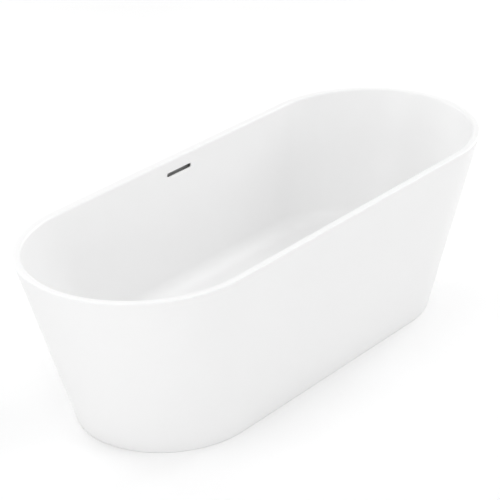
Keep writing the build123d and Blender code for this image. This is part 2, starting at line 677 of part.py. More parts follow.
with BuildPart() as overflow_duct:
    duct_plane = wall_plane.offset(DUCT_GASKET)
    pipe_drop = (SLOT_LEVEL - PIPE_BOTTOM) / math.cos(WALL_ANGLE)
    pipe_middle = -(HEAD_BELOW_SLOT + pipe_drop) / 2
    pipe_length = pipe_drop - HEAD_BELOW_SLOT
    boot_middle = (BOOT_INNER_Y + BOOT_OUTER_Y) / 2
    boot_depth = BOOT_OUTER_Y - BOOT_INNER_Y
    # The head and the flat pipe, then the boot at the foot, with the spigot under it.
    with BuildSketch(duct_plane):
        with Locations((0, (HEAD_ABOVE_SLOT - HEAD_BELOW_SLOT) / 2)):
            Rectangle(HEAD_WIDTH, HEAD_ABOVE_SLOT + HEAD_BELOW_SLOT)
        with Locations((0, pipe_middle)):
            Rectangle(PIPE_WIDTH, pipe_length)
    extrude(amount=DUCT_DEPTH)
    with BuildSketch(Plane.XY.offset(BOOT_BOTTOM)):
        with Locations((0, boot_middle)):
            Rectangle(BOOT_WIDTH, boot_depth)
    extrude(amount=BOOT_TOP - BOOT_BOTTOM)
    with BuildSketch(Plane.XY.offset(SPIGOT_BOTTOM)):
        with Locations((0, HOSE_DROP_Y)):
            Circle(SPIGOT_RADIUS)
    extrude(amount=BOOT_BOTTOM - SPIGOT_BOTTOM)
    # The hollow of each, and the window that faces the slot.
    with BuildSketch(duct_plane.offset(DUCT_WALL)):
        with Locations((0, (HEAD_ABOVE_SLOT - HEAD_BELOW_SLOT) / 2)):
            Rectangle(HEAD_WIDTH - 2 * DUCT_WALL, HEAD_ABOVE_SLOT + HEAD_BELOW_SLOT - 2 * DUCT_WALL)
        with Locations((0, pipe_middle + DUCT_WALL)):
            Rectangle(PIPE_WIDTH - 2 * DUCT_WALL, pipe_length + 2 * DUCT_WALL)
    extrude(amount=DUCT_DEPTH - 2 * DUCT_WALL, mode=Mode.SUBTRACT)
    with BuildSketch(duct_plane):
        SlotOverall(SLOT_LENGTH + 2 * WINDOW_MARGIN, SLOT_HEIGHT + 2 * WINDOW_MARGIN)
    extrude(amount=DUCT_WALL, mode=Mode.SUBTRACT)
    with BuildSketch(Plane.XY.offset(BOOT_BOTTOM + DUCT_WALL)):
        with Locations((0, boot_middle)):
            Rectangle(BOOT_WIDTH - 2 * DUCT_WALL, boot_depth - 2 * DUCT_WALL)
    extrude(amount=BOOT_TOP - BOOT_BOTTOM - 2 * DUCT_WALL, mode=Mode.SUBTRACT)
    with BuildSketch(Plane.XY.offset(SPIGOT_BOTTOM)):
        with Locations((0, HOSE_DROP_Y)):
            Circle(SPIGOT_BORE_RADIUS)
    extrude(amount=BOOT_BOTTOM + DUCT_WALL - SPIGOT_BOTTOM, mode=Mode.SUBTRACT)
save(overflow_duct, "overflow_duct")

with BuildPart() as overflow_hose:
    with BuildLine() as hose_route:
        FilletPolyline(
            (0, HOSE_START_Y, INLET_LEVEL),
            (0, HOSE_DROP_Y, INLET_LEVEL),
            (0, HOSE_DROP_Y, HOSE_TOP),
            radius=HOSE_BEND,
        )
    with BuildSketch(inlet_plane.offset(HOSE_START_Y)):
        Circle(HOSE_RADIUS)
        Circle(HOSE_BORE_RADIUS, mode=Mode.SUBTRACT)
    sweep(path=hose_route.wire())
save(overflow_hose, "overflow_hose")

clamp_planes = {
    "hose_clamp_lower": inlet_plane.offset(HOSE_START_Y + CLAMP_INSET),
    "hose_clamp_upper": Plane(
        origin=(0, HOSE_DROP_Y, HOSE_TOP - CLAMP_INSET), x_dir=(1, 0, 0), z_dir=(0, 0, -1)
    ),
}
for name, clamp_plane in clamp_planes.items():
    with BuildPart() as hose_clamp:
        with BuildSketch(clamp_plane):
            Circle(HOSE_RADIUS + CLAMP_BAND)
            Circle(HOSE_RADIUS, mode=Mode.SUBTRACT)
        extrude(amount=CLAMP_WIDTH)
        # The worm-screw housing on the side of the band.
        with BuildSketch(clamp_plane):
            with Locations((HOSE_RADIUS + CLAMP_BAND + CLAMP_HOUSING / 2 - CLAMP_HOUSING_SINK, 0)):
                Rectangle(CLAMP_HOUSING, 2 * CLAMP_HOUSING)
        extrude(amount=CLAMP_WIDTH)
    save(hose_clamp, name)

hose_length = hose_route.wire().length
hose_section = math.pi * (HOSE_RADIUS**2 - HOSE_BORE_RADIUS**2)
print(f"hose: bend radius {HOSE_BEND} mm, length {hose_length:.1f} mm")
print(f"hose: volume {overflow_hose.part.volume:.0f}, length times section {hose_section * hose_length:.0f}")
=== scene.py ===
import math

import bmesh
import bpy
import numpy as np
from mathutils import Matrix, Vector


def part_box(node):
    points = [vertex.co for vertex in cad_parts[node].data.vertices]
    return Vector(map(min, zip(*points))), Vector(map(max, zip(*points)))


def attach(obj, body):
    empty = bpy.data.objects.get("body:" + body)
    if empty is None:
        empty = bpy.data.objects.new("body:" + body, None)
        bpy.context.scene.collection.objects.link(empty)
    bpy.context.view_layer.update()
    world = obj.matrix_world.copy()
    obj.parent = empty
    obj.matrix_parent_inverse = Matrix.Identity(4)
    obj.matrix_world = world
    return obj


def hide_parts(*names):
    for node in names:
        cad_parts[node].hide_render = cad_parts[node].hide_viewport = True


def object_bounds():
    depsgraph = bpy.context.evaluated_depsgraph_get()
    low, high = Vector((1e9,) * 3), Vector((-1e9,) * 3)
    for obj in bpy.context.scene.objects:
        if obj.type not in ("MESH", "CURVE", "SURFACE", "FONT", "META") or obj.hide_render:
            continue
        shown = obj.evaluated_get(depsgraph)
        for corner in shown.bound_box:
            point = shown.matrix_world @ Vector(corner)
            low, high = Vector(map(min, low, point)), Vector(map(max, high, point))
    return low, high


# The looks of a freestanding double-skin bath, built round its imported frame. Metres throughout:
# +X runs along the bath, +Y towards the long wall with the overflow slot, +Z up.

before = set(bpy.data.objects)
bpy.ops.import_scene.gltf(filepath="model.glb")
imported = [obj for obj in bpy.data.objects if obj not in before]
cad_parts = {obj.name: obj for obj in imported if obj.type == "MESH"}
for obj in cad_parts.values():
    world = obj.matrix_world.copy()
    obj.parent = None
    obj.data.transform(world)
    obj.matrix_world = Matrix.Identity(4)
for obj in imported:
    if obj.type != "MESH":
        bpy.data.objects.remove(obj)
cad_box = [list(corner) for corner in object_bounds()]

# ---------------------------------------------------------------- sizes

# Outside form: an oval that tapers evenly from the rim to the floor.
HEIGHT = cad_box[1][2]
RIM_HALF_LENGTH, RIM_HALF_WIDTH = 0.900, 0.3425
BASE_HALF_LENGTH, BASE_HALF_WIDTH = 0.708, 0.263
END_STRETCH = 1.09  # how much longer than a half circle an end is

# Inside form of the basin.
RIM_BREADTH = 0.024
FLOOR_LEVEL = 0.150
FLOOR_HALF_LENGTH, FLOOR_HALF_WIDTH = 0.714, 0.2585
FLOOR_RADIUS = 0.055
RIM_INNER_RADIUS = 0.008
RIM_OUTER_RADIUS = 0.004
SHEET = 0.005
LIP_BOTTOM = 0.523

# Slot in the +Y wall.
SLOT_LEVEL = 0.502
SLOT_LENGTH = 0.112
SLOT_HEIGHT = 0.012
SLOT_EDGE = 0.0012

# Dish and hole for the waste.
DISH_TOP_RADIUS = 0.054
DISH_FLOOR_RADIUS = 0.038
DISH_DEPTH = 0.004
HOLE_RADIUS = 0.0265
HOLE_EDGE = 0.001
BOSS_RADIUS = 0.060
BOSS_BOTTOM = 0.141

# Skirt.
SKIRT_BOTTOM = 0.0005
SKIRT_EDGE = 0.0006
SKIRT_RETURN = 0.030
STRIP_INSET = 0.0053
STRIP_THICKNESS = 0.004
STRIP_BOTTOM = 0.515
STRIP_TOP = 0.5397

# Columns of the ovals, and the block of the inside wall's grid that the slot takes the place of.
END_COLUMNS = 96
SIDE_COLUMNS = 96
SLOT_COLUMNS = 14
SLOT_ROWS = 12
SLOT_BLOCK_HALF_HEIGHT = 0.014
ROWS_ABOVE_SLOT = 5
ROWS_BELOW_SLOT = 24

# Steps of the roundings, and of the flat runs between them.
RIM_OUTER_STEPS = 8
RIM_INNER_STEPS = 10
FLOOR_STEPS = 26
BACK_FLOOR_STEPS = 20
HOLE_EDGE_STEPS = 4
SLOT_EDGE_STEPS = 5
SKIRT_EDGE_STEPS = 5
FLAT_STEPS = 3

# Rings of the basin's floor, of its dish and of its underside, and rows of the skirt.
FLOOR_RINGS = 16
FLOOR_CROWDING = 0.8  # under 1, so that the rings get closer together towards the dish
DISH_RINGS = 8
UNDERSIDE_RINGS = 12
SKIRT_FACE_ROWS = 20
SKIRT_BACK_ROWS = 12
STRIP_ROWS = 2

# Where the loops round the slot lie, as shares of the way from its block to its edge, and out again.
SHARES_TO_SLOT = (0.3, 0.6, 0.85, 1.0)
SHARES_FROM_SLOT = (0.35, 0.7)


# ---------------------------------------------------------------- mesh making


def oval_columns():
    """(sx, cx, sy) of each column of an oval: x = sx * straight + cx * reach, y = sy * half width."""
    found = []
    for end in (1, -1):
        for i in range(END_COLUMNS):
            turn = math.pi * i / END_COLUMNS
            found.append((end, end * math.sin(turn), -end * math.cos(turn)))
        for i in range(SIDE_COLUMNS):
            found.append((end * (1 - 2 * i / SIDE_COLUMNS), 0.0, end))
    return np.array(found)


COLUMNS = oval_columns()


def oval_ring(half_length, half_width, end_level, side_level):
    """The points of one oval. Its level may differ between the ends and the long sides."""
    reach = END_STRETCH * half_width
    x = COLUMNS[:, 0] * (half_length - reach) + COLUMNS[:, 1] * reach
    y = COLUMNS[:, 2] * half_width
    share = COLUMNS[:, 1] ** 2
    return np.stack([x, y, side_level + (end_level - side_level) * share], axis=1)


def circle_ring(radius, level, like):
    """A circle round the Z axis, with a point on the same bearing as each point of another ring."""
    bearing = np.arctan2(like[:, 1], like[:, 0])
    return np.stack([radius * np.cos(bearing), radius * np.sin(bearing), np.full(len(like), level)], axis=1)


def corner_arc(corner, first, second, radius, steps):
    """Points of a rounding of a 2-D corner whose two sides run off in the directions first and second."""
    corner, first, second = (np.array(v, float) for v in (corner, first, second))
    first, second = first / np.linalg.norm(first), second / np.linalg.norm(second)
    half = math.acos(float(first @ second)) / 2
    middle = (first + second) / np.linalg.norm(first + second)
    centre = corner + middle * radius / math.sin(half)
    start = corner + first * radius / math.tan(half) - centre
    end = corner + second * radius / math.tan(half) - centre
    sweep = math.pi - 2 * half
    points = []
    for i in range(steps + 1):
        t = i / steps
        points.append(
            centre + (start * math.sin((1 - t) * sweep) + end * math.sin(t * sweep)) / math.sin(sweep)
        )
    return points


def outside(level, length_wise):
    """Half length or half width of the outside form at a level."""
    share = level / HEIGHT
    if length_wise:
        return BASE_HALF_LENGTH + (RIM_HALF_LENGTH - BASE_HALF_LENGTH) * share
    return BASE_HALF_WIDTH + (RIM_HALF_WIDTH - BASE_HALF_WIDTH) * share


def inside(level, length_wise):
    """Half length or half width of the space inside the basin at a level."""
    share = (level - FLOOR_LEVEL) / (HEIGHT - FLOOR_LEVEL)
    if length_wise:
        return FLOOR_HALF_LENGTH + (RIM_HALF_LENGTH - RIM_BREADTH - FLOOR_HALF_LENGTH) * share
    return FLOOR_HALF_WIDTH + (RIM_HALF_WIDTH - RIM_BREADTH - FLOOR_HALF_WIDTH) * share


def between(start, end, steps):
    """Points from start to end, both left out."""
    start, end = np.array(start, float), np.array(end, float)
    return [start + (end - start) * i / steps for i in range(1, steps)]


def rings_of(end_profile, side_profile):
    """One oval ring for each pair of (half size, level) points of the two profiles."""
    pairs = zip(end_profile, side_profile, strict=True)
    return [oval_ring(e[0], s[0], e[1], s[1]) for e, s in pairs]


class Grid:
    """Points and quads of a mesh that is put together from rings with equal numbers of points."""

    def __init__(self):
        self.points, self.faces = [], []

    def ring(self, points):
        first = len(self.points)
        self.points += [tuple(p) for p in points]
        return list(range(first, len(self.points)))

    def bridge(self, a, b, closed=True, without=()):
        """Quads between two rings, leaving out those that start at the columns in without."""
        count = len(a)
        for i in range(count if closed else count - 1):
            if i not in without:
                j = (i + 1) % count
                self.faces.append((a[i], a[j], b[j], b[i]))

    def chain(self, rings, closed=True):
        for a, b in zip(rings, rings[1:]):
            self.bridge(a, b, closed)

    def cap(self, ring):
        """A fan over the inside of a ring, from a point at its middle."""
        middle = np.mean([self.points[i] for i in ring], axis=0)
        self.points.append(tuple(middle))
        tip = len(self.points) - 1
        self.faces += [(ring[i], ring[(i + 1) % len(ring)], tip) for i in range(len(ring))]

    def piece(self, name, body, slot, nodes, sharp_degrees=35):
        mesh = bpy.data.meshes.new(name)
        mesh.from_pydata(self.points, [], self.faces)
        form = bmesh.new()
        form.from_mesh(mesh)
        bmesh.ops.recalc_face_normals(form, faces=form.faces)
        form.to_mesh(mesh)
        form.free()
        mesh.polygons.foreach_set("use_smooth", [True] * len(mesh.polygons))
        mesh.set_sharp_from_angle(angle=math.radians(sharp_degrees))
        made = bpy.data.objects.new(name, mesh)
        bpy.context.scene.collection.objects.link(made)
        made.data.materials.append(MATERIALS[slot])
        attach(made, body)
        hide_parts(*nodes)
        return made


# ---------------------------------------------------------------- materials


class Nodes:
    """Short ways to add and join the nodes of a material."""

    def __init__(self, name):
        self.material = bpy.data.materials.new(name)
        self.material.use_nodes = True
        self.tree = self.material.node_tree
        self.shader = self.tree.nodes["Principled BSDF"]
        self.place = self.tree.nodes.new("ShaderNodeTexCoord").outputs["Object"]

    def new(self, kind, links=(), values=(), **settings):
        node = self.tree.nodes.new(kind)
        for key, value in settings.items():
            setattr(node, key, value)
        for socket, source in dict(links).items():
            self.tree.links.new(source, node.inputs[socket])
        for socket, value in dict(values).items():
            node.inputs[socket].default_value = value
        return node

    def stretched(self, scale):
        """Object coordinates, scaled differently along each axis."""
        return self.new("ShaderNodeMapping", {"Vector": self.place}, {"Scale": scale}).outputs["Vector"]

    def noise(self, scale, detail=3.0, vector=None, distortion=0.0):
        values = {"Scale": scale, "Detail": detail, "Distortion": distortion}
        return self.new("ShaderNodeTexNoise", {"Vector": vector or self.place}, values).outputs["Fac"]

    def between(self, source, low, high, start=0.3, end=0.7):
        """A number that goes from low to high as the source goes from start to end."""
        values = {"From Min": start, "From Max": end, "To Min": low, "To Max": high}
        return self.new("ShaderNodeMapRange", {"Value": source}, values).outputs["Result"]

    def mixed(self, source, first, second):
        """A colour between two, by the source. Either may be a socket."""
        node = self.new("ShaderNodeMix", {"Factor": source}, data_type="RGBA")
        for socket, colour in ((node.inputs[6], first), (node.inputs[7], second)):
            if isinstance(colour, bpy.types.NodeSocket):
                self.tree.links.new(colour, socket)
            else:
                socket.default_value = (*colour, 1.0)
        return node.outputs[2]

    def math(self, operation, first, second):
        node = self.new("ShaderNodeMath", operation=operation)
        for socket, value in ((node.inputs[0], first), (node.inputs[1], second)):
            if isinstance(value, bpy.types.NodeSocket):
                self.tree.links.new(value, socket)
            else:
                socket.default_value = value
        return node.outputs[0]

    def bump(self, height, distance, strength=1.0, under=None):
        links = {"Height": height}
        if under is not None:
            links["Normal"] = under
        values = {"Distance": distance, "Strength": strength}
        return self.new("ShaderNodeBump", links, values).outputs["Normal"]

    def finish(self, colour, roughness, normal, **constants):
        for socket, source in (("Base Color", colour), ("Roughness", roughness), ("Normal", normal)):
            self.tree.links.new(source, self.shader.inputs[socket])
        for key, value in constants.items():
            self.shader.inputs[key.replace("_", " ").title().replace("Ior", "IOR")].default_value = value
        return self.material


def white_acrylic():
    """Satin sanitary acrylic: faint clouding, a slight waviness from forming, and a fine skin texture."""
    n = Nodes("white_acrylic")
    cloud = n.noise(2.2, 4.0)
    speck = n.noise(900.0, 2.0)
    colour = n.mixed(n.between(cloud, 0.0, 1.0), (0.845, 0.845, 0.845), (0.862, 0.862, 0.862))
    colour = n.mixed(n.between(speck, 0.0, 0.35), colour, (0.872, 0.872, 0.872))
    rough = n.math("ADD", n.between(n.noise(5.0), 0.34, 0.42), n.between(speck, -0.02, 0.02))
    wave = n.bump(n.noise(7.0, 1.0), 0.0006)
    skin = n.bump(n.noise(1400.0, 2.0), 0.00002, 0.5, wave)
    return n.finish(colour, rough, skin, ior=1.49, coat_weight=0.15, coat_roughness=0.22)


def glass_fibre():
    """Sprayed chopped-strand mat in resin: crossing strands, lumps and pools of resin."""
    n = Nodes("glass_fibre")
    strands = None
    for scale in ((60, 900, 60), (900, 60, 200), (420, 380, 60)):
        one = n.noise(1.0, 3.0, n.stretched(scale), 0.6)
        strands = one if strands is None else n.math("MAXIMUM", strands, one)
    lumps = n.noise(28.0, 5.0)
    colour = n.mixed(n.between(strands, 0.0, 1.0, 0.5, 0.75), (0.52, 0.50, 0.40), (0.72, 0.70, 0.60))
    colour = n.mixed(n.between(lumps, 0.0, 0.6), colour, (0.60, 0.58, 0.47))
    rough = n.between(lumps, 0.35, 0.75)
    under = n.bump(lumps, 0.004)
    return n.finish(colour, rough, n.bump(strands, 0.0012, 1.0, under))


def plywood():
    """Raw plywood: grain along the board, and thin plies that alternate at its edge."""
    n = Nodes("plywood")
    grain = n.noise(1.0, 6.0, n.stretched((3.0, 70.0, 70.0)), 1.2)
    pores = n.noise(1.0, 2.0, n.stretched((60.0, 1400.0, 1400.0)))
    ply = n.new(
        "ShaderNodeTexWave", {"Vector": n.place}, {"Scale": 150.0, "Distortion": 0.6, "Detail": 1.0},
        bands_direction="Z",
    ).outputs["Fac"]
    colour = n.mixed(n.between(grain, 0.0, 1.0), (0.46, 0.30, 0.16), (0.68, 0.50, 0.31))
    colour = n.mixed(n.between(ply, 0.0, 0.45, 0.4, 0.6), colour, (0.36, 0.22, 0.12))
    colour = n.mixed(n.between(pores, 0.0, 0.5, 0.55, 0.75), colour, (0.30, 0.18, 0.09))
    rough = n.between(grain, 0.62, 0.82)
    return n.finish(colour, rough, n.bump(pores, 0.0003, 1.0, n.bump(grain, 0.0006)))


def galvanised_steel():
    """Dull galvanised tube: a spangle of zinc crystals with streaks along it."""
    n = Nodes("galvanised_steel")
    cells = n.new("ShaderNodeTexVoronoi", {"Vector": n.place}, {"Scale": 210.0}).outputs["Color"]
    streak = n.noise(1.0, 4.0, n.stretched((8.0, 90.0, 90.0)))
    colour = n.mixed(n.between(cells, 0.0, 1.0, 0.0, 1.0), (0.46, 0.48, 0.50), (0.66, 0.68, 0.70))
    colour = n.mixed(n.between(streak, 0.0, 0.4), colour, (0.74, 0.75, 0.76))
    rough = n.math("ADD", n.between(cells, 0.30, 0.48, 0.0, 1.0), n.between(streak, -0.05, 0.08))
    return n.finish(colour, rough, n.bump(cells, 0.00004, 0.6, n.bump(streak, 0.0001)), metallic=1.0)


def zinc_plated_steel():
    """Bright zinc plate on turned and pressed steel: fine tool marks and a faint blue and yellow tint."""
    n = Nodes("zinc_plated_steel")
    lines = n.noise(1.0, 3.0, n.stretched((120.0, 120.0, 2600.0)))
    tint = n.noise(60.0, 3.0)
    colour = n.mixed(n.between(tint, 0.0, 1.0), (0.66, 0.69, 0.74), (0.74, 0.72, 0.66))
    rough = n.math("ADD", n.between(lines, 0.22, 0.36), n.between(tint, -0.03, 0.06))
    return n.finish(colour, rough, n.bump(lines, 0.00006, 0.7), metallic=1.0)


def moulded(name, dark, light, rough_low, rough_high, grain_scale, grain_depth):
    """Moulded plastic or rubber: clouded colour, a fine grain, and broad uneven sheen."""
    n = Nodes(name)
    cloud, grain = n.noise(24.0, 4.0), n.noise(grain_scale, 3.0)
    colour = n.mixed(n.between(cloud, 0.0, 1.0), dark, light)
    rough = n.math("ADD", n.between(cloud, rough_low, rough_high), n.between(grain, -0.05, 0.05))
    return n.finish(colour, rough, n.bump(grain, grain_depth, 0.8, n.bump(cloud, grain_depth * 3)))


def plated(name, first, second, rough_low, rough_high):
    """Polished or turned bright metal with faint smears and fine lines."""
    n = Nodes(name)
    smear = n.noise(45.0, 4.0)
    lines = n.noise(1.0, 2.0, n.stretched((90.0, 90.0, 3200.0)))
    colour = n.mixed(n.between(smear, 0.0, 1.0), first, second)
    rough = n.math("ADD", n.between(smear, rough_low, rough_high), n.between(lines, 0.0, 0.03))
    return n.finish(colour, rough, n.bump(lines, 0.00001, 0.5), metallic=1.0)


# Two shades, the range of the roughness, and the scale and depth of the grain of each moulded material.
MOULDED = {
    "black_plastic": ((0.020, 0.020, 0.021), (0.038, 0.038, 0.039), 0.38, 0.55, 1500.0, 0.00006),
    "black_rubber": ((0.014, 0.014, 0.014), (0.028, 0.027, 0.026), 0.68, 0.88, 700.0, 0.00012),
    "white_plastic": ((0.66, 0.66, 0.64), (0.74, 0.74, 0.72), 0.35, 0.50, 1200.0, 0.00005),
    "grey_plastic": ((0.30, 0.30, 0.30), (0.37, 0.37, 0.37), 0.40, 0.55, 1200.0, 0.00005),
    "grey_hose": ((0.20, 0.205, 0.21), (0.27, 0.275, 0.28), 0.42, 0.60, 1000.0, 0.00006),
}

MATERIALS = {
    "white_acrylic": white_acrylic(),
    "glass_fibre": glass_fibre(),
    "plywood": plywood(),
    "galvanised_steel": galvanised_steel(),
    "zinc_plated_steel": zinc_plated_steel(),
    "chrome": plated("chrome", (0.80, 0.81, 0.83), (0.86, 0.87, 0.88), 0.05, 0.10),
    "brass": plated("brass", (0.72, 0.52, 0.22), (0.80, 0.62, 0.32), 0.20, 0.32),
}
for name, look in MOULDED.items():
    MATERIALS[name] = moulded(name, *look)

# The material of every CAD node, by the start of its name.
SLOT_OF_NODE = {
    "inner_basin": "white_acrylic",
    "outer_skirt": "white_acrylic",
    "basin_backing": "glass_fibre",
    "base_board": "plywood",
    "rail_front": "galvanised_steel",
    "rail_back": "galvanised_steel",
    "rail_end_caps": "black_plastic",
    "cross_tube": "galvanised_steel",
    "board_screws": "zinc_plated_steel",
    "skirt_bracket": "galvanised_steel",
    "bracket_bolts": "zinc_plated_steel",
    "foot_weld_nuts": "zinc_plated_steel",
    "foot_lock_nuts": "zinc_plated_steel",
    "foot_stud": "zinc_plated_steel",
    "foot_pad": "black_plastic",
    "foot_sole": "black_rubber",
    "flange_seal": "black_rubber",
    "waste_flange": "chrome",
    "click_cartridge": "white_plastic",
    "plug_stem": "brass",
    "plug_seal": "black_rubber",
    "plug_cap": "chrome",
    "body_gasket": "black_rubber",
    "waste_body": "white_plastic",
    "outlet_seal": "black_rubber",
    "outlet_nut": "white_plastic",
    "overflow_gasket": "black_rubber",
    "overflow_duct": "grey_plastic",
    "overflow_hose": "grey_hose",
    "hose_clamp": "zinc_plated_steel",
}

for name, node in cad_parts.items():
    slot = next(SLOT_OF_NODE[start] for start in SLOT_OF_NODE if name.startswith(start))
    node.data.materials.clear()
    node.data.materials.append(MATERIALS[slot])

# ---------------------------------------------------------------- basin


# The long wall inside: its lean from upright, and the levels at which its two roundings start.
WALL_LEAN = math.atan((inside(HEIGHT, False) - inside(FLOOR_LEVEL, False)) / (HEIGHT - FLOOR_LEVEL))
ROUNDING_RISE = math.cos(WALL_LEAN) / math.tan((math.pi / 2 + WALL_LEAN) / 2)
WALL_TOP = HEIGHT - ROUNDING_RISE * RIM_INNER_RADIUS
WALL_BOTTOM = FLOOR_LEVEL + ROUNDING_RISE * FLOOR_RADIUS


def wall_levels():
    """Levels of the rows of the long wall, and the numbers of the first and last row of the block."""
    block_top, block_bottom = SLOT_LEVEL + SLOT_BLOCK_HALF_HEIGHT, SLOT_LEVEL - SLOT_BLOCK_HALF_HEIGHT
    above = np.linspace(WALL_TOP, block_top, ROWS_ABOVE_SLOT)
    block = np.linspace(block_top, block_bottom, SLOT_ROWS + 1)
    below = np.linspace(block_bottom, WALL_BOTTOM, ROWS_BELOW_SLOT)
    return [*above[1:-1], *block, *below[1:-1]], len(above) - 2, len(above) - 2 + SLOT_ROWS


WALL_LEVELS, BLOCK_TOP, BLOCK_BOTTOM = wall_levels()


def basin_profile(length_wise):
    """The basin's section as (half size, level) points in named runs, for its ends or its long sides."""
    rim_out = (outside(HEIGHT, length_wise), HEIGHT)
    rim_in = (inside(HEIGHT, length_wise), HEIGHT)
    foot = (inside(FLOOR_LEVEL, length_wise), FLOOR_LEVEL)
    down_out = (outside(0, length_wise) - rim_out[0], -HEIGHT)
    down_in = (foot[0] - rim_in[0], foot[1] - rim_in[1])
    up_in = (-down_in[0], -down_in[1])
    lip = [(outside(LIP_BOTTOM, length_wise), LIP_BOTTOM)]
    outer = corner_arc(rim_out, down_out, (-1, 0), RIM_OUTER_RADIUS, RIM_OUTER_STEPS)
    inner = corner_arc(rim_in, (1, 0), down_in, RIM_INNER_RADIUS, RIM_INNER_STEPS)
    floor = corner_arc(foot, up_in, (-1, 0), FLOOR_RADIUS, FLOOR_STEPS)
    # The wall's rows share out the run between the two roundings as on the long side.
    wall = []
    for level in WALL_LEVELS:
        share = (WALL_TOP - level) / (WALL_TOP - WALL_BOTTOM)
        at = inner[-1][1] + (floor[0][1] - inner[-1][1]) * share
        wall.append((inside(at, length_wise), at))
    under_level = FLOOR_LEVEL - SHEET
    under_foot = (inside(under_level, length_wise) + SHEET, under_level)
    back_floor = corner_arc(under_foot, (-1, 0), up_in, FLOOR_RADIUS + SHEET, BACK_FLOOR_STEPS)
    back = [(inside(level, length_wise) + SHEET, level) for _, level in reversed(wall)]
    back_top = (inside(HEIGHT - SHEET, length_wise) + SHEET, HEIGHT - SHEET)
    lip_top = (outside(HEIGHT - SHEET, length_wise) - SHEET, HEIGHT - SHEET)
    lip_in = (outside(LIP_BOTTOM, length_wise) - SHEET, LIP_BOTTOM)
    rim_side, rim_top = between(lip[0], outer[0], FLAT_STEPS), between(outer[-1], inner[0], FLAT_STEPS)
    face = [*lip, *rim_side, *outer, *rim_top, *inner]
    under_rim, lip_back = between(back_top, lip_top, FLAT_STEPS), between(lip_top, lip_in, FLAT_STEPS)
    hidden = [back_top, *under_rim, lip_top, *lip_back, lip_in]
    return face, wall, floor, back_floor, back, hidden


def slot_loop(growth):
    """The slot's outline, as (along, up) points that match the sides of its block in the wall's grid."""
    half, radius = (SLOT_LENGTH - SLOT_HEIGHT) / 2, SLOT_HEIGHT / 2 + growth
    loop = [(half - 2 * half * i / SLOT_COLUMNS, radius) for i in range(SLOT_COLUMNS)]
    for i in range(SLOT_ROWS):
        turn = math.pi / 2 + math.pi * i / SLOT_ROWS
        loop.append((-half + radius * math.cos(turn), radius * math.sin(turn)))
    loop += [(2 * half * i / SLOT_COLUMNS - half, -radius) for i in range(SLOT_COLUMNS)]
    for i in range(SLOT_ROWS):
        turn = -math.pi / 2 + math.pi * i / SLOT_ROWS
        loop.append((half + radius * math.cos(turn), radius * math.sin(turn)))
    return loop


def on_wall(along, up, depth):
    """A point of the long wall, by its place from the slot's middle and its depth behind the face."""
    across, rise = math.cos(WALL_LEAN), math.sin(WALL_LEAN)
    y = inside(SLOT_LEVEL, False) + up * rise + depth * across
    return (along, y, SLOT_LEVEL + up * across - depth * rise)


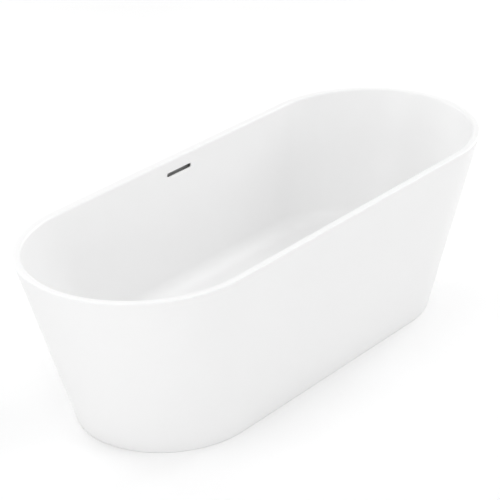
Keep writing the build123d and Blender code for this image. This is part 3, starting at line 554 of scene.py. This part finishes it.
def make_basin():
    grid = Grid()
    end, side = basin_profile(True), basin_profile(False)
    face, wall, floor, back_floor, back, hidden = (rings_of(e, s) for e, s in zip(end, side, strict=True))
    rings = [grid.ring(r) for r in face]
    first_wall = len(rings)
    rings += [grid.ring(r) for r in (*wall, *floor)]

    # The floor runs in to the dish and the waste hole, and back out under the boss.
    level_ring = floor[-1]
    lip = circle_ring(DISH_TOP_RADIUS, FLOOR_LEVEL, level_ring)
    for i in range(1, FLOOR_RINGS + 1):
        rings.append(grid.ring(level_ring + (lip - level_ring) * (i / FLOOR_RINGS) ** FLOOR_CROWDING))
    for i in range(1, DISH_RINGS + 1):
        share = i / DISH_RINGS
        radius = DISH_TOP_RADIUS + (DISH_FLOOR_RADIUS - DISH_TOP_RADIUS) * share
        level = FLOOR_LEVEL - DISH_DEPTH * share * share * (3 - 2 * share)
        rings.append(grid.ring(circle_ring(radius, level, level_ring)))
    dish_floor = FLOOR_LEVEL - DISH_DEPTH
    hole = corner_arc((HOLE_RADIUS, dish_floor), (1, 0), (0, -1), HOLE_EDGE, HOLE_EDGE_STEPS)
    turned = [*hole, (HOLE_RADIUS, BOSS_BOTTOM)]
    turned += [((HOLE_RADIUS + BOSS_RADIUS) / 2, BOSS_BOTTOM), (BOSS_RADIUS, BOSS_BOTTOM)]
    turned += [(BOSS_RADIUS, FLOOR_LEVEL - SHEET)]
    rings += [grid.ring(circle_ring(radius, level, level_ring)) for radius, level in turned]
    boss = circle_ring(BOSS_RADIUS, FLOOR_LEVEL - SHEET, level_ring)
    for i in range(1, UNDERSIDE_RINGS):
        rings.append(grid.ring(boss + (back_floor[0] - boss) * i / UNDERSIDE_RINGS))
    rings += [grid.ring(r) for r in back_floor]
    first_back = len(rings)
    rings += [grid.ring(r) for r in (*back, *hidden)]

    # The slot's block of columns, on the +Y side, is left out of the face and of the back.
    middle = END_COLUMNS + SIDE_COLUMNS // 2
    start, stop = middle - SLOT_COLUMNS // 2, middle + SLOT_COLUMNS // 2
    face_top, face_bottom = first_wall + BLOCK_TOP, first_wall + BLOCK_BOTTOM
    back_top = first_back + len(wall) - 1 - BLOCK_TOP
    back_bottom = first_back + len(wall) - 1 - BLOCK_BOTTOM
    for i in range(len(rings)):
        in_block = face_top <= i < face_bottom or back_bottom <= i < back_top
        grid.bridge(rings[i], rings[(i + 1) % len(rings)], without=range(start, stop) if in_block else ())

    def block_loop(top, bottom):
        step = 1 if bottom > top else -1
        loop = [rings[top][c] for c in range(start, stop)]
        loop += [rings[r][stop] for r in range(top, bottom, step)]
        loop += [rings[bottom][c] for c in range(stop, start, -1)]
        return loop + [rings[r][start] for r in range(bottom, top, -step)]

    # From the face's block in to the slot's rounded edge, through the wall, and out to the back's block.
    thickness = SHEET * math.cos(WALL_LEAN)
    outer = np.array([on_wall(a, u, 0) for a, u in slot_loop(SLOT_EDGE)])
    front = block_loop(face_top, face_bottom)
    front_points = np.array([grid.points[i] for i in front])
    loops = [front]
    for share in SHARES_TO_SLOT:
        loops.append(grid.ring(front_points + (outer - front_points) * share))
    for i in range(1, SLOT_EDGE_STEPS + 1):
        turn = math.pi / 2 * i / SLOT_EDGE_STEPS
        growth, depth = SLOT_EDGE * (1 - math.sin(turn)), SLOT_EDGE * (1 - math.cos(turn))
        loops.append(grid.ring([on_wall(a, u, depth) for a, u in slot_loop(growth)]))
    for share in (0.5, 1.0):
        depth = SLOT_EDGE + (thickness - SLOT_EDGE) * share
        loops.append(grid.ring([on_wall(a, u, depth) for a, u in slot_loop(0)]))
    rear = block_loop(back_top, back_bottom)
    rear_points = np.array([grid.points[i] for i in rear])
    inner = np.array([on_wall(a, u, thickness) for a, u in slot_loop(0)])
    for share in SHARES_FROM_SLOT:
        loops.append(grid.ring(inner + (rear_points - inner) * share))
    grid.chain([*loops, rear])
    return grid.piece("basin", "bath", "white_acrylic", ["inner_basin"])


def make_skirt():
    profiles = []
    for length_wise in (True, False):

        def at(level, inset):
            return (outside(level, length_wise) - inset, level)

        foot, top = at(SKIRT_BOTTOM, 0), at(LIP_BOTTOM, 0)
        up = (top[0] - foot[0], top[1] - foot[1])
        edge = corner_arc(foot, (-1, 0), up, SKIRT_EDGE, SKIRT_EDGE_STEPS)
        turn_top = SKIRT_BOTTOM + SHEET
        # Each corner with the number of rows that lead to it: up over the strip, then down the back.
        corners = [
            (at(LIP_BOTTOM, STRIP_INSET), STRIP_ROWS),
            (at(STRIP_TOP, STRIP_INSET), STRIP_ROWS),
            (at(STRIP_TOP, STRIP_INSET + STRIP_THICKNESS), STRIP_ROWS),
            (at(STRIP_BOTTOM, STRIP_INSET + STRIP_THICKNESS), STRIP_ROWS),
            (at(STRIP_BOTTOM, SHEET), STRIP_ROWS),
            (at(turn_top, SHEET), SKIRT_BACK_ROWS),
            (at(turn_top, SHEET + SKIRT_RETURN), STRIP_ROWS),
            (at(SKIRT_BOTTOM, SHEET + SKIRT_RETURN), STRIP_ROWS),
        ]
        profile = [*edge, *between(edge[-1], top, SKIRT_FACE_ROWS), top]
        for corner, rows in corners:
            profile += [*between(profile[-1], corner, rows), corner]
        profiles.append(profile)
    grid = Grid()
    rings = [grid.ring(r) for r in rings_of(*profiles)]
    grid.chain([*rings, rings[0]])
    return grid.piece("skirt", "bath", "white_acrylic", ["outer_skirt"])


make_basin()
make_skirt()

# ---------------------------------------------------------------- threaded feet

THREAD_PITCH = 0.00175
THREAD_DEPTH = 0.0009
THREAD_STEEPNESS, THREAD_CREST = 1.6, 0.3  # of the wave that is cut off flat at the crest and the root
THREAD_TURN_STEPS = 28
THREAD_ROWS_PER_TURN = 6
STUD_RADIUS = 0.00598
STUD_CHAMFER = 0.001
COLLAR_SIDES = 6
COLLAR_STEPS_PER_SIDE = 4
COLLAR_HALF_FLATS = 0.0085
COLLAR_BOTTOM = 0.01808
COLLAR_TOP = 0.02408
COLLAR_EDGE = 0.0004


def make_stud(number):
    """A threaded stud with its spanner collar, where the CAD node has a plain rod."""
    low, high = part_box(f"foot_stud_{number}")
    centre = (low + high) / 2
    grid = Grid()
    levels = np.arange(low.z, high.z, THREAD_PITCH / THREAD_ROWS_PER_TURN)
    turns = np.arange(THREAD_TURN_STEPS) / THREAD_TURN_STEPS
    rings = []
    for level in (*levels, high.z):
        phase = (level / THREAD_PITCH - turns) % 1.0
        wave = THREAD_STEEPNESS * np.abs(2 * phase - 1) - THREAD_CREST
        depth = THREAD_DEPTH * np.clip(wave, 0, 1)
        tip = min(high.z - level, level - low.z)
        radius = np.minimum(STUD_RADIUS - depth, STUD_RADIUS - max(0.0, STUD_CHAMFER - tip))
        bearing = 2 * math.pi * turns
        x, y = centre.x + radius * np.cos(bearing), centre.y + radius * np.sin(bearing)
        rings.append(grid.ring(np.stack([x, y, np.full(len(turns), level)], axis=1)))
    grid.chain(rings)
    grid.cap(rings[0])
    grid.cap(rings[-1])
    # The collar is a hexagon with its corners turned down a little at top and bottom.
    steps = COLLAR_SIDES * COLLAR_STEPS_PER_SIDE
    half_side = math.pi / COLLAR_SIDES
    collar = []
    for level, growth in (
        (COLLAR_BOTTOM, -COLLAR_EDGE),
        (COLLAR_BOTTOM + COLLAR_EDGE, 0.0),
        (COLLAR_TOP - COLLAR_EDGE, 0.0),
        (COLLAR_TOP, -COLLAR_EDGE),
    ):
        ring = []
        for i in range(steps):
            bearing = 2 * math.pi * i / steps
            off = (bearing + half_side) % (2 * half_side) - half_side
            radius = (COLLAR_HALF_FLATS + growth) / math.cos(off)
            ring.append((centre.x + radius * math.cos(bearing), centre.y + radius * math.sin(bearing), level))
        collar.append(grid.ring(ring))
    grid.chain(collar)
    grid.cap(collar[0])
    grid.cap(collar[-1])
    body, node = f"stud_{number}", f"foot_stud_{number}"
    return grid.piece(f"{body}_threaded", body, "zinc_plated_steel", [node])


for number in range(1, 7):
    make_stud(number)

# ---------------------------------------------------------------- overflow hose

HOSE_RADIUS = 0.0125
HOSE_BORE = 0.0100
HOSE_RIB = 0.0009
HOSE_RIB_PITCH = 0.0042
HOSE_RIB_INSIDE = 0.6  # how deep the ribs are on the inside, as a share of the outside
HOSE_CUFF = 0.016
HOSE_CUFF_FADE = 2 * HOSE_RIB_PITCH
HOSE_STEPS_PER_RIB = 6
HOSE_STEPS_ROUND = 32
HOSE_LINE_STEPS = 96
HOSE_ROUTE = ((0, 0.044, 0.070), (0, 0.163, 0.070), (0, 0.253, 0.070), (0, 0.253, 0.136))


def hose_centreline():
    """Points along the smooth line that the hose's route gives."""
    curve = bpy.data.curves.new("hose_route", "CURVE")
    curve.dimensions = "3D"
    spline = curve.splines.new("NURBS")
    spline.points.add(len(HOSE_ROUTE) - 1)
    for point, place in zip(spline.points, HOSE_ROUTE):
        point.co = (*place, 1.0)
    spline.order_u = 3
    spline.use_endpoint_u = True
    spline.resolution_u = HOSE_LINE_STEPS
    carrier = bpy.data.objects.new("hose_route", curve)
    bpy.context.scene.collection.objects.link(carrier)
    bpy.context.view_layer.update()
    line = bpy.data.meshes.new_from_object(carrier)
    points = np.array([v.co for v in line.vertices], float)
    bpy.data.objects.remove(carrier)
    bpy.data.curves.remove(curve)
    bpy.data.meshes.remove(line)
    return points


def make_hose():
    """A corrugated hose with smooth cuffs. It lies in the YZ plane."""
    line = hose_centreline()
    run = np.concatenate([[0.0], np.cumsum(np.linalg.norm(np.diff(line, axis=0), axis=1))])
    total = run[-1]
    places = np.linspace(0, total, int(total / (HOSE_RIB_PITCH / HOSE_STEPS_PER_RIB)))
    centre = np.stack([np.interp(places, run, line[:, axis]) for axis in range(3)], axis=1)
    ahead = np.gradient(centre, axis=0)
    ahead /= np.linalg.norm(ahead, axis=1)[:, None]
    bearing = 2 * math.pi * np.arange(HOSE_STEPS_ROUND) / HOSE_STEPS_ROUND
    across = np.array([1.0, 0.0, 0.0])
    grid = Grid()
    outer, inner = [], []
    for place, middle, direction in zip(places, centre, ahead):
        up = np.cross(across, direction)
        ribbed = min(1.0, max(0.0, (min(place, total - place) - HOSE_CUFF) / HOSE_CUFF_FADE))
        groove = HOSE_RIB * ribbed * (0.5 - 0.5 * math.cos(2 * math.pi * place / HOSE_RIB_PITCH))
        inner_radius = HOSE_BORE - groove * HOSE_RIB_INSIDE
        for rings, radius in ((outer, HOSE_RADIUS - groove), (inner, inner_radius)):
            ring = middle + radius * (np.cos(bearing)[:, None] * across + np.sin(bearing)[:, None] * up)
            rings.append(grid.ring(ring))
    grid.chain([*outer, *reversed(inner), outer[0]])
    return grid.piece("overflow_hose_ribbed", "bath", "grey_hose", ["overflow_hose"])


make_hose()

# ---------------------------------------------------------------- floor, light and camera

FLOOR_SPAN = 30.0
FLOOR_GLOW = 0.024
FLOOR_CELLS = 24


def make_floor():
    """A wide pale floor, seen only from above."""
    mesh = bpy.data.meshes.new("studio_floor")
    steps = np.linspace(-FLOOR_SPAN, FLOOR_SPAN, FLOOR_CELLS + 1)
    points = [(x, y, 0.0) for y in steps for x in steps]
    across = FLOOR_CELLS + 1
    faces = [
        (r * across + c, r * across + c + 1, (r + 1) * across + c + 1, (r + 1) * across + c)
        for r in range(FLOOR_CELLS)
        for c in range(FLOOR_CELLS)
    ]
    mesh.from_pydata(points, [], faces)
    floor = bpy.data.objects.new("studio_floor", mesh)
    bpy.context.scene.collection.objects.link(floor)
    n = Nodes("studio_floor")
    cloud = n.noise(1.5, 3.0)
    colour = n.mixed(n.between(cloud, 0.0, 1.0), (0.89, 0.89, 0.89), (0.91, 0.91, 0.91))
    n.finish(colour, n.between(cloud, 0.85, 0.95), n.bump(n.noise(400.0), 0.0001), specular_ior_level=0.0)
    n.shader.inputs["Emission Color"].default_value = (1.0, 1.0, 1.0, 1.0)
    n.shader.inputs["Emission Strength"].default_value = FLOOR_GLOW
    clear = n.new("ShaderNodeBsdfTransparent")
    below = n.new("ShaderNodeNewGeometry").outputs["Backfacing"]
    chosen = n.new("ShaderNodeMixShader", {0: below, 1: n.shader.outputs[0], 2: clear.outputs[0]})
    n.tree.links.new(chosen.outputs[0], n.tree.nodes["Material Output"].inputs["Surface"])
    floor.data.materials.append(n.material)


SKY_STRENGTH = 0.58

# (name, place, point it faces, width, height, watts)
LIGHTS = (
    ("overhead_left_softbox", (-2.2, 0.0, 3.2), (0.0, 0.0, 0.0), 1.6, 1.6, 22.0),
    ("overhead_right_softbox", (2.2, 0.0, 3.2), (0.0, 0.0, 0.0), 1.6, 1.6, 8.0),
    ("overhead_front_softbox", (0.0, -2.2, 3.2), (0.0, 0.0, 0.0), 1.6, 1.6, 15.0),
    ("overhead_back_softbox", (0.6, 3.6, 4.2), (0.0, 0.0, 0.3), 1.6, 1.6, 23.0),
    ("left_softbox", (-4.5, -0.5, 2.2), (0.0, 0.0, 0.3), 2.5, 2.5, 22.0),
    ("low_back_left_softbox", (-4.2, 1.9, 1.2), (0.0, 0.0, 0.3), 2.5, 1.6, 9.0),
    ("low_front_left_softbox", (-3.2, -3.2, 0.9), (0.0, 0.0, 0.3), 2.5, 1.2, 17.0),
    ("front_softbox", (0.8, -4.5, 2.4), (0.0, 0.0, 0.3), 3.0, 2.5, 16.0),
    ("right_softbox", (4.8, -0.8, 2.4), (0.0, 0.0, 0.3), 2.5, 2.5, 89.0),
    ("back_softbox", (0.0, 4.5, 2.6), (0.0, 0.0, 0.4), 3.0, 2.5, 54.0),
)

make_floor()

world = bpy.data.worlds.new("studio")
world.use_nodes = True
world.node_tree.nodes["Background"].inputs["Color"].default_value = (1.0, 1.0, 1.0, 1.0)
world.node_tree.nodes["Background"].inputs["Strength"].default_value = SKY_STRENGTH
bpy.context.scene.world = world

for name, place, aim, width, height, watts in LIGHTS:
    data = bpy.data.lights.new(name, "AREA")
    data.shape = "RECTANGLE"
    data.size, data.size_y, data.energy = width, height, watts
    light = bpy.data.objects.new(name, data)
    light.location = place
    light.rotation_mode = "QUATERNION"
    light.rotation_quaternion = (Vector(aim) - Vector(place)).to_track_quat("-Z", "Y")
    bpy.context.scene.collection.objects.link(light)

# The camera's bearing, height and distance follow from the outlines of the rim and the base.
CAMERA_AZIMUTH = math.radians(-51.9)
CAMERA_ELEVATION = math.radians(25.6)
CAMERA_DISTANCE = 6.14
CAMERA_TARGET = Vector((0.026, 0.063, 0.3))
CAMERA_LENS = 148.0
CAMERA_SENSOR = 36.0

camera_data = bpy.data.cameras.new("camera")
camera_data.sensor_width = CAMERA_SENSOR
camera_data.lens = CAMERA_LENS
camera_data.clip_start, camera_data.clip_end = 0.1, 100.0
camera = bpy.data.objects.new("camera", camera_data)
back = Vector((
    math.sin(CAMERA_AZIMUTH) * math.cos(CAMERA_ELEVATION),
    -math.cos(CAMERA_AZIMUTH) * math.cos(CAMERA_ELEVATION),
    math.sin(CAMERA_ELEVATION),
))
camera.location = CAMERA_TARGET + back * CAMERA_DISTANCE
camera.rotation_mode = "QUATERNION"
camera.rotation_quaternion = (-back).to_track_quat("-Z", "Y")
bpy.context.scene.collection.objects.link(camera)
bpy.context.scene.camera = camera
bpy.context.scene.view_settings.view_transform = "Standard"
